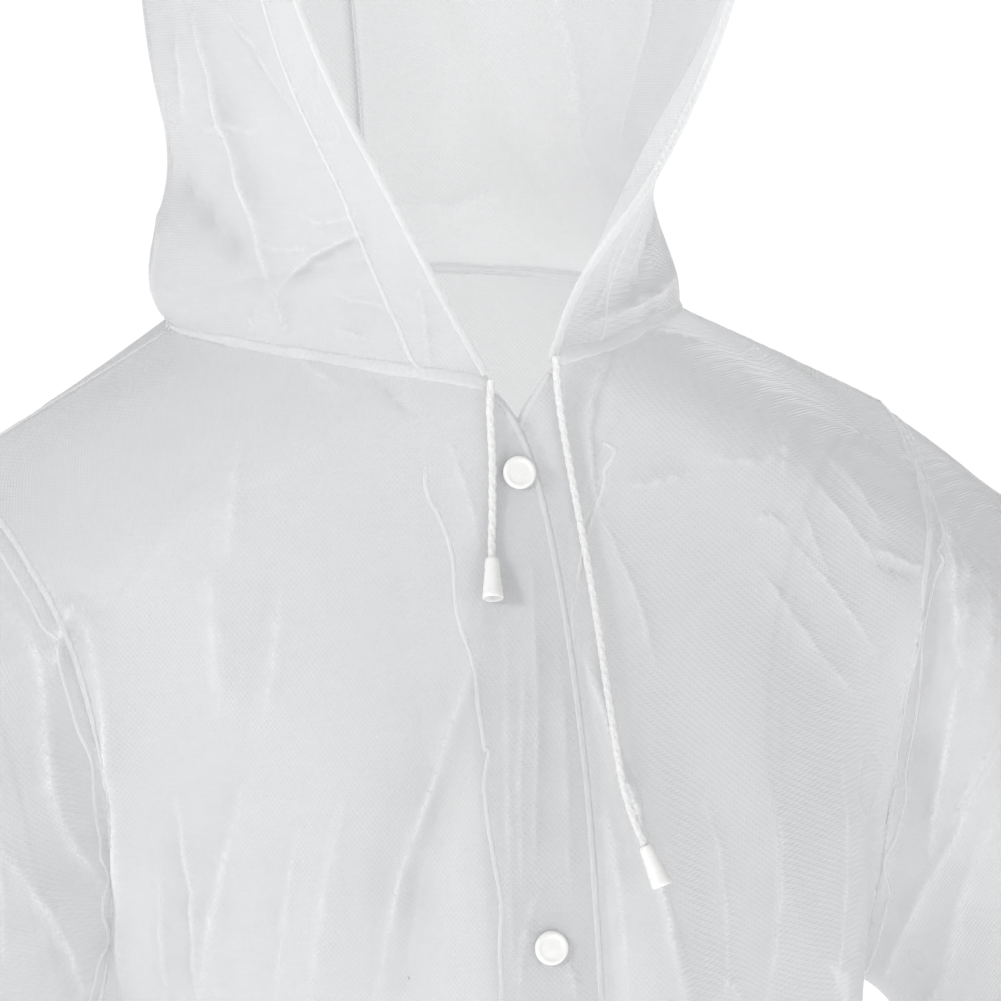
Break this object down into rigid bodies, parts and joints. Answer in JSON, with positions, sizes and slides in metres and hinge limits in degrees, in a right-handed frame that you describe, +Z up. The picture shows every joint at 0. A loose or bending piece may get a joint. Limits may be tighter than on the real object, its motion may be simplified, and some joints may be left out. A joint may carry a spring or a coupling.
{
  "type": "hooded raincoat",
  "caption": "Hooded rain coat of frosted translucent film with snap front, wide sleeves, open cuffs and a drawcord hood, hollow and in the form it has when worn.",
  "frame": {"origin": "middle of the neck's base, where the coat hangs on the wearer's shoulders", "axes": "+Z up, front faces -Y, +X is the wearer's left"},
  "size_m": [0.788, 0.3992, 1.3478],
  "materials": {
    "frosted_film": "frosted, milky, fine pressed grain",
    "white_snap": "glossy white",
    "white_cord": "white braid",
    "white_cord_end": "glossy white"
  },
  "bodies": {
    "root": {"back": "frosted_film", "front_right": "frosted_film", "front_left": "frosted_film", "sleeve_right": "frosted_film", "sleeve_left": "frosted_film", "hood_right": "frosted_film", "hood_left": "frosted_film", "casing_right": "frosted_film", "casing_left": "frosted_film", "facing_right": "frosted_film", "facing_left": "frosted_film", "neck_band": "frosted_film", "snap_cap_1": "white_snap", "snap_cap_2": "white_snap", "snap_cap_3": "white_snap", "snap_cap_4": "white_snap", "snap_cap_5": "white_snap", "snap_stud_1": "white_snap", "snap_stud_2": "white_snap", "snap_stud_3": "white_snap", "snap_stud_4": "white_snap", "snap_stud_5": "white_snap", "cord_right": "white_cord", "cord_left": "white_cord", "cord_end_right": "white_cord_end", "cord_end_left": "white_cord_end"}
  },
  "joints": []
}
